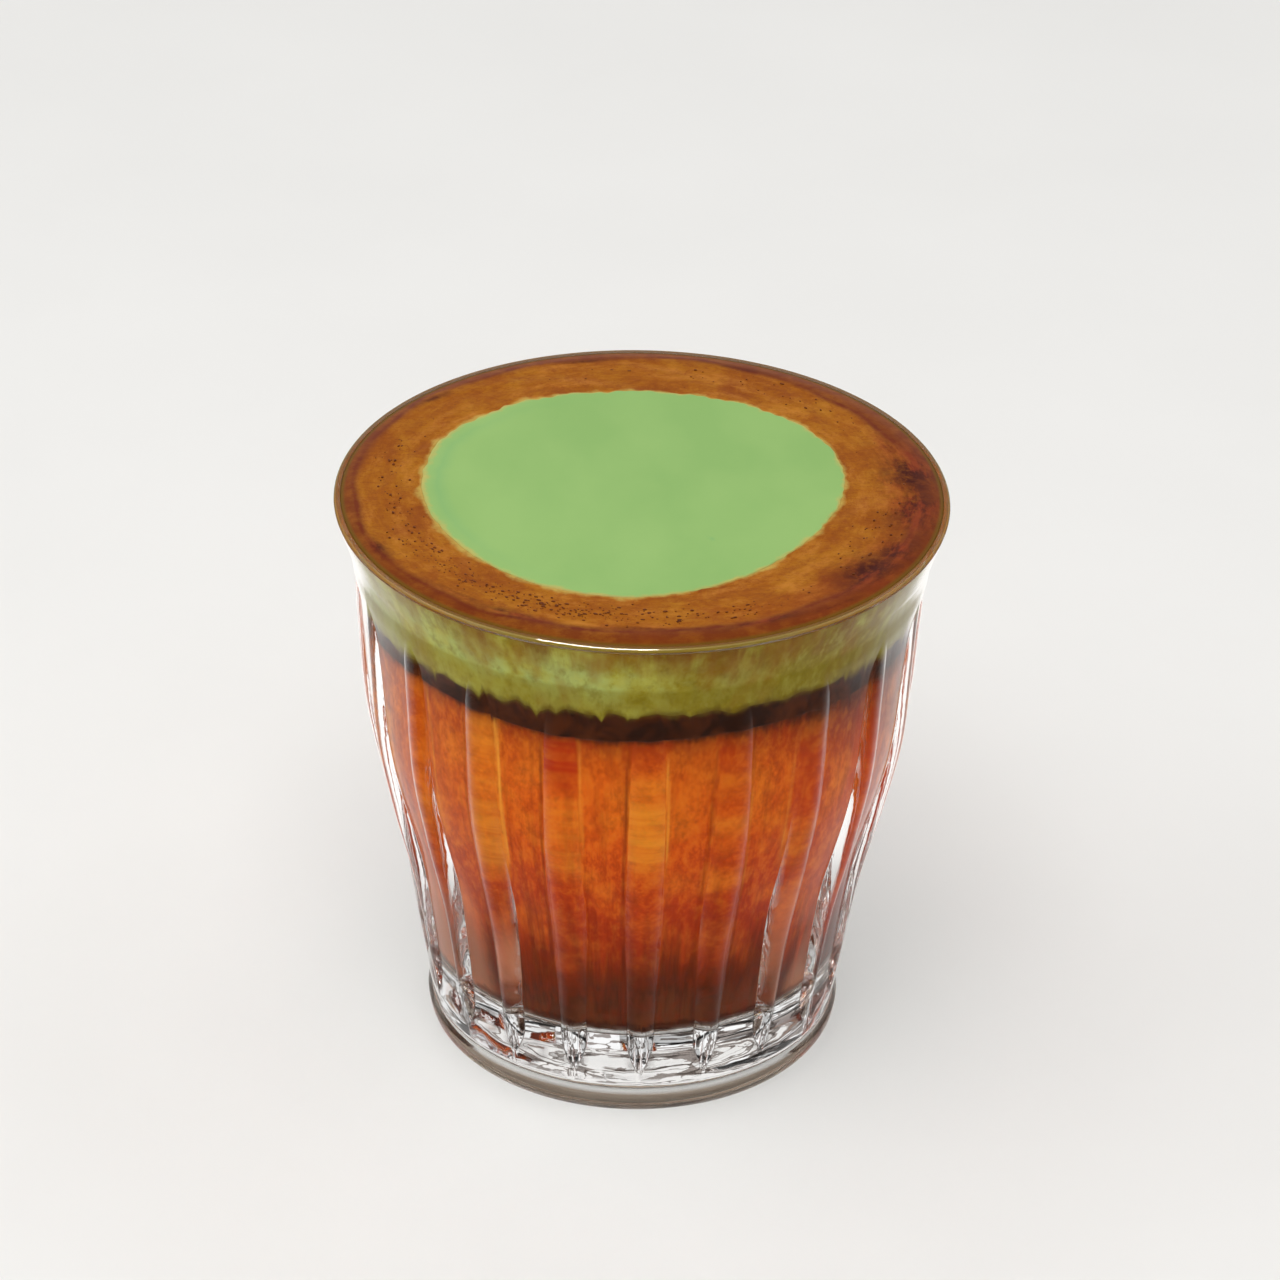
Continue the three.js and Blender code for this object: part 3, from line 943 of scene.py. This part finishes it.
# Dark wet places in the crema: (x, y, length, width, turn in degrees from +X, strength), seen from above
DARK_PLACES = (
    (38.4, 6.4, 12.0, 5.6, 98, 1.0),
    (38.6, -4.0, 11.0, 5.6, 82, 1.0),
    (31.8, -21.6, 10.0, 5.2, 50, 1.0),
    (35.8, -16.3, 7.0, 4.4, 60, 0.9),
    (35.2, 14.5, 7.0, 2.2, 112, 0.6),
    (-37.0, -17.6, 4.5, 1.6, 125, 0.8),
    (-17.6, -35.4, 7.5, 1.3, -22, 0.8),
    (-24.5, -31.0, 8.0, 1.0, -40, 0.5),
    (17.5, -36.0, 9.0, 1.1, 25, 0.75),
    (27.0, -31.5, 8.0, 1.0, 40, 0.5),
    (-9.0, 39.0, 6.0, 0.8, 12, 0.7),
    (-30.8, 26.6, 5.0, 1.0, 42, 0.7),
    (14.0, 37.8, 9.0, 0.8, -20, 0.5),
    (0.0, -38.8, 14.0, 0.8, 0, 0.45),
)


def dark_places(x, y):
    total = np.zeros_like(x)
    for px, py, length, width, turn, strength in DARK_PLACES:
        angle = math.radians(turn)
        along = (x - px) * math.cos(angle) + (y - py) * math.sin(angle)
        across = (y - py) * math.cos(angle) - (x - px) * math.sin(angle)
        total = np.maximum(total, strength * spot(along / length * 1.6, across / width * 1.6))
    return total


def foam_edge(azimuth):
    """The foam's outline with its small lobes."""
    ragged = 0.35 + 0.65 * hump(azimuth, -160, 70)
    small = 0.16 * Wobble(31, (9, 30), 8)(azimuth) + 0.1 * Wobble(32, (40, 95), 10)(azimuth)
    return foam_radius(azimuth) + ragged * small


def build_crema():
    azimuths = even(TOP_COLUMNS)
    hole = foam_edge(azimuths) - 0.1
    lift = Wobble(33, (2, 24), 16)
    side = wall_radius(CREMA_SIDE_BOTTOM)
    rows = [(hole, CREMA_BOTTOM), (36, CREMA_BOTTOM)] + flat(CREMA_SIDE_BOTTOM, (side - 0.3, side - 0.02))
    rows += arc(LIP_MIDDLE, LIP_CENTRE, LIP_RADIUS - 0.1, 180, CONTACT_ANGLE, 6)
    edge_radius, edge_height = rows[-1]
    for t in np.linspace(0, 1, 12)[1:]:
        radius = edge_radius + (CREMA_FLAT_RADIUS - edge_radius) * t
        rows.append((radius, edge_height + (CREMA_TOP - edge_height) * math.sin(t * math.pi / 2)))
    for t in np.linspace(0, 1, 34)[1:]:
        radius = CREMA_FLAT_RADIUS + (hole - CREMA_FLAT_RADIUS) * t
        rows.append((radius, CREMA_TOP - 0.05 * smoothstep(t, 0, 0.2) * (1 + lift(azimuths + 40 * t)) / 2))
    radii, levels = grid_of(rows, len(azimuths))
    angle = np.radians(azimuths)
    ring_edge = 39.6 - np.cos(np.radians(azimuths - 67)) + 0.3 * Wobble(34, (2, 18), 10)(azimuths)
    line = bell((radii - ring_edge - 0.9) / 0.75)
    reach = 1.1 + 0.6 * hump(azimuths, -60, 60)
    attributes = {
        "ring": np.maximum(line, 0.8 * smoothstep(radii, ring_edge, ring_edge + 0.9)),
        "shaded": 0.5 * hump(azimuths, 62, 42) * smoothstep(radii, 33, 38),
        "olive": 0.9 * smoothstep(radii, 42.3, 42.8),
        "side": smoothstep(levels, LIP_TOP - 0.25, LIP_TOP - 0.5) * (radii > CREMA_FLAT_RADIUS),
        "dark": dark_places(radii * np.sin(angle), -radii * np.cos(angle)),
        "cream": smoothstep(radii, hole + reach + 0.4 * Wobble(35, (5, 40), 16)(azimuths), hole - 0.2),
    }
    crema = turned("crema_ring", rows, azimuths, attributes, capped=False)
    finish_piece(crema, crema_material(), "crema", "crema")


# The foam's edge starts a little under the crema's top, and rounds over this far in and this far up
FOAM_START = CREMA_TOP - 0.1
FOAM_ROUND = 0.45
FOAM_RISE = 0.2


def build_foam():
    azimuths = even(TOP_COLUMNS)
    edge = foam_edge(azimuths)
    rows = [(edge * 0.5, CREMA_BOTTOM), (edge, CREMA_BOTTOM), (edge, FOAM_START)]
    for t in np.linspace(0, 1, 8):
        angle = t * math.pi / 2
        rows.append((edge - FOAM_ROUND * (1 - math.cos(angle)), FOAM_START + FOAM_RISE * math.sin(angle)))
    rows += [((edge - FOAM_ROUND) * t, FOAM_TOP) for t in np.linspace(1, 0.04, 34)[1:]]
    radii, _ = grid_of(rows, len(azimuths))
    angle = np.radians(azimuths)
    x, y = radii * np.sin(angle), -radii * np.cos(angle)
    depth = edge - radii
    left = hump(azimuths, -95, 45)
    fringe = 0.65 + 0.9 * left + 0.2 * Wobble(36, (5, 50), 16)(azimuths)
    cream = smoothstep(depth, fringe + 0.2, 0.0) * (0.9 + 0.1 * Wobble(37, (4, 30), 12)(azimuths))
    shade = left * bell((depth - 2.4) / 0.9) * 0.4
    # A small dark spot in front, to the right
    shade = np.maximum(shade, 0.9 * spot((x - 9.75) / 0.35, (y + 13.6) / 0.3))
    foam = turned("matcha_foam_disc", rows, azimuths, {"cream": cream * 0.9, "shade": shade})
    finish_piece(foam, foam_material(), "matcha_foam", "matcha_foam")


# Places of the bubbles in the crema: (azimuth, half width of the spread, radius, spread, how many)
BUBBLE_PLACES = (
    (-58, 24, 35.5, 2.2, 120),
    (-22, 26, 35.6, 2.0, 180),
    (12, 18, 36.0, 1.8, 60),
    (66, 14, 35.0, 2.4, 36),
    (-95, 18, 36.5, 2.0, 30),
    (140, 60, 36.0, 2.5, 50),
)
BUBBLE_SIDES = 8
BUBBLE_SIZES = (0.07, 0.09, 0.11, 0.14, 0.2)


def bubble_material():
    n = Nodes("dark_bubbles")
    n.colour = n.mix(n.noise(2, 2), srgb(78, 34, 8), srgb(124, 64, 20))
    return n.finish(n.surface(0.5, 0.05))


def build_bubbles():
    """Small burst and whole bubbles as low domes, joined into one mesh."""
    draw = random.Random(51)
    vertices, faces = [], []
    for azimuth, reach, radius, spread, count in BUBBLE_PLACES:
        for _ in range(count):
            a = math.radians(draw.gauss(azimuth, reach / 1.6))
            r = draw.gauss(radius, spread / 1.6)
            if not foam_radius(math.degrees(a)) + 1.2 < r < CREMA_FLAT_RADIUS - 0.4:
                continue
            size, longer = draw.choice(BUBBLE_SIZES), draw.uniform(1, 2)
            x, y = r * math.sin(a), -r * math.cos(a)
            base = len(vertices)
            for share, up in ((1.0, -0.04), (0.75, 0.3 * size), (0.4, 0.45 * size)):
                height = min(CREMA_TOP + up, FOAM_TOP - 0.01)
                for side in range(BUBBLE_SIDES):
                    turn = math.tau * side / BUBBLE_SIDES
                    along, across = size * share * longer * math.cos(turn), size * share * math.sin(turn)
                    out_x = x + along * math.cos(a) - across * math.sin(a)
                    out_y = y + along * math.sin(a) + across * math.cos(a)
                    vertices.append((out_x, out_y, height))
            for low in (base, base + BUBBLE_SIDES):
                for side in range(BUBBLE_SIDES):
                    here, there = low + side, low + (side + 1) % BUBBLE_SIDES
                    faces.append((here, there, there + BUBBLE_SIDES, here + BUBBLE_SIDES))
            faces.append(tuple(base + 2 * BUBBLE_SIDES + side for side in range(BUBBLE_SIDES)))
            faces.append(tuple(base + side for side in reversed(range(BUBBLE_SIDES))))
    mesh = bpy.data.meshes.new("crema_bubbles")
    mesh.from_pydata([tuple(v * MM for v in point) for point in vertices], [], faces)
    mesh.shade_smooth()
    finish_piece(link_object("crema_bubbles", mesh), bubble_material(), "crema")


def swung(first, second, angle):
    """Two vectors at right angles, turned in their plane from the first towards the second."""
    cosine, sine = math.cos(angle), math.sin(angle)
    return first * cosine + second * sine, second * cosine - first * sine


# The camera stands where the photo was taken from
def make_camera():
    elevation = math.radians(CAMERA_ELEVATION)
    forward = Vector((0, math.cos(elevation), -math.sin(elevation)))
    right = Vector((1, 0, 0))
    up = right.cross(forward)
    place = (Vector((0, 0, CAMERA_AIM_HEIGHT)) - forward * CAMERA_DISTANCE) * MM
    right, forward = swung(right, forward, math.atan(CAMERA_AIM_X / CAMERA_FOCAL))
    forward, up = swung(forward, up, math.atan(CAMERA_AIM_Y / CAMERA_FOCAL))
    right, up = swung(right, up, math.radians(CAMERA_ROLL))
    data = bpy.data.cameras.new("camera")
    data.sensor_width = SENSOR_WIDTH
    data.lens = SENSOR_WIDTH * CAMERA_FOCAL / FRAME_SIDE
    data.clip_start, data.clip_end = 0.01, 20
    camera = link_object("camera", data)
    turn = Matrix((right, up, -forward)).transposed().to_4x4()
    camera.matrix_world = Matrix.Translation(place) @ turn
    bpy.context.scene.camera = camera


# Half the floor's side, and how far it lies under the foot, in metres
FLOOR_REACH = 3.0
FLOOR_DROP = 0.0002


def make_floor():
    mesh = bpy.data.meshes.new("floor")
    corners = ((-1, -1), (1, -1), (1, 1), (-1, 1))
    mesh.from_pydata([(FLOOR_REACH * x, FLOOR_REACH * y, 0) for x, y in corners], [], [(0, 1, 2, 3)])
    mesh.materials.append(floor_material())
    floor = link_object("floor", mesh)
    floor.location.z = -FLOOR_DROP


# Soft boxes that face the drink, in metres: (name, azimuth, elevation, distance, width, height, power)
LIGHTS = (
    ("key_softbox", -8, 62, 1.0, 0.5, 0.4, 3.4),
    ("rim_strip", -22, 62, 0.98, 0.5, 0.2, 22),
    ("left_softbox", -75, 35, 1.1, 0.7, 0.7, 1.2),
)
LIGHTS_FACE_HEIGHT = 0.05


def make_lights():
    for name, azimuth, elevation, distance, width, height, power in LIGHTS:
        data = bpy.data.lights.new(name, "AREA")
        data.shape = "RECTANGLE"
        data.size, data.size_y, data.energy = width, height, power
        light = link_object(name, data)
        a, e = math.radians(azimuth), math.radians(elevation)
        way = Vector((math.sin(a) * math.cos(e), -math.cos(a) * math.cos(e), math.sin(e)))
        light.location = way * distance + Vector((0, 0, LIGHTS_FACE_HEIGHT))
        light.rotation_mode = "QUATERNION"
        light.rotation_quaternion = way.to_track_quat("Z", "Y")
        light.visible_camera = False
        light.visible_diffuse = name != "rim_strip"


# Brightness of the studio as clear glass shows it, from the horizon up: (sine of the elevation, value)
WORLD_PANELS = (
    (0.0, 0.7), (0.22, 1.0), (0.23, 0.05), (0.25, 0.05), (0.26, 1.0), (0.5, 1.0), (0.51, 0.05),
    (0.535, 0.05), (0.545, 1.0), (0.76, 1.0), (0.78, 0.4), (1.0, 1.0),
)

# Size of the grey cards that it mirrors, as a share of their distance
CARD_SIZE = 0.3125


def make_world():
    n = Nodes("studio", world=True)
    way = n.add("TexCoord").outputs["Generated"]
    x, y, z = n.add("SeparateXYZ", {0: way}).outputs
    rays = n.add("LightPath").outputs
    # The studio is dim behind the camera and bright behind the drink
    room = n.mix(n.range(y, -0.75, 0.1, smooth=True), (0.3, 0.3, 0.31), (1, 1, 1))
    # Clear glass also shows dark gaps between panels, grey cards and a dimmer right side
    panels = n.ramp(z, [(at, (value, value, value)) for at, value in WORLD_PANELS])
    cards = n.range(n.noise(CARD_SIZE, 1.5, vector=way), 0.56, 0.54, 0.55, 1.0)
    shown = n.times(panels, n.times(cards, n.range(x, 0.1, 0.8, 1.0, 0.82)))
    room = n.mix(rays["Is Singular Ray"], room, shown, blend="MULTIPLY")
    seen = n.mix(rays["Is Camera Ray"], room, (0.9, 0.9, 0.895))
    bpy.context.scene.world = n.finish(n.add("Background", {"Color": seen}))


scene = bpy.context.scene
scene.view_settings.view_transform = "Standard"
scene.view_settings.look = "None"
scene.cycles.max_bounces = 24
scene.cycles.glossy_bounces = 20
scene.cycles.transmission_bounces = 20
scene.cycles.transparent_max_bounces = 24
make_camera()
make_world()
make_lights()
make_floor()
build_glass()
build_coffee()
build_espresso()
build_matcha_milk()
build_crema()
build_foam()
build_bubbles()
